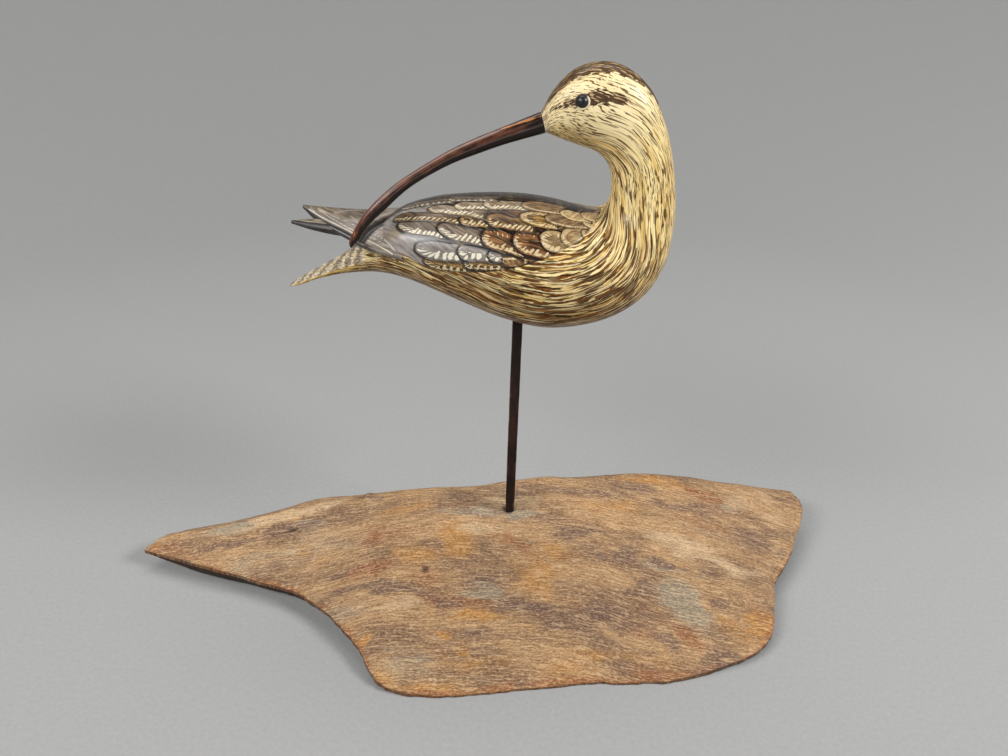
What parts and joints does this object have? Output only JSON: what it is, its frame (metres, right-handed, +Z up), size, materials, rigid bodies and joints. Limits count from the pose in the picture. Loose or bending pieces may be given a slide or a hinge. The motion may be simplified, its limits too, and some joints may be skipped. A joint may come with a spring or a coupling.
{
  "type": "shorebird decoy",
  "caption": "Carved and painted curlew with a long curved bill, preening over its back, on a whittled rod set in a slab of driftwood.",
  "frame": {"origin": "on the flat foot of the driftwood slab, straight under the rod", "axes": "+Z up along the rod, +X the way the bird's breast faces and along the slab, +Y to the bird's left"},
  "size_m": [0.3625, 0.1471, 0.2577],
  "materials": {
    "painted_bird": "carved wood, painted cream with dark-brown strokes, feather edges cut in low relief, satin",
    "bill_wood": "dark-brown painted wood, rubbed reddish-brown along the sides, semi-gloss",
    "eye_glass": "solid black polished glass",
    "rod_wood": "whittled square rod, dark-brown paint, scuffed, satin",
    "driftwood": "weathered bare driftwood, brown and grey, fine fibrous grain, matt"
  },
  "bodies": {
    "root": {"carved_bird": "painted_bird", "bill": "bill_wood", "glass_eye_left": "eye_glass", "glass_eye_right": "eye_glass", "support_rod": "rod_wood", "driftwood_base": "driftwood"}
  },
  "joints": []
}
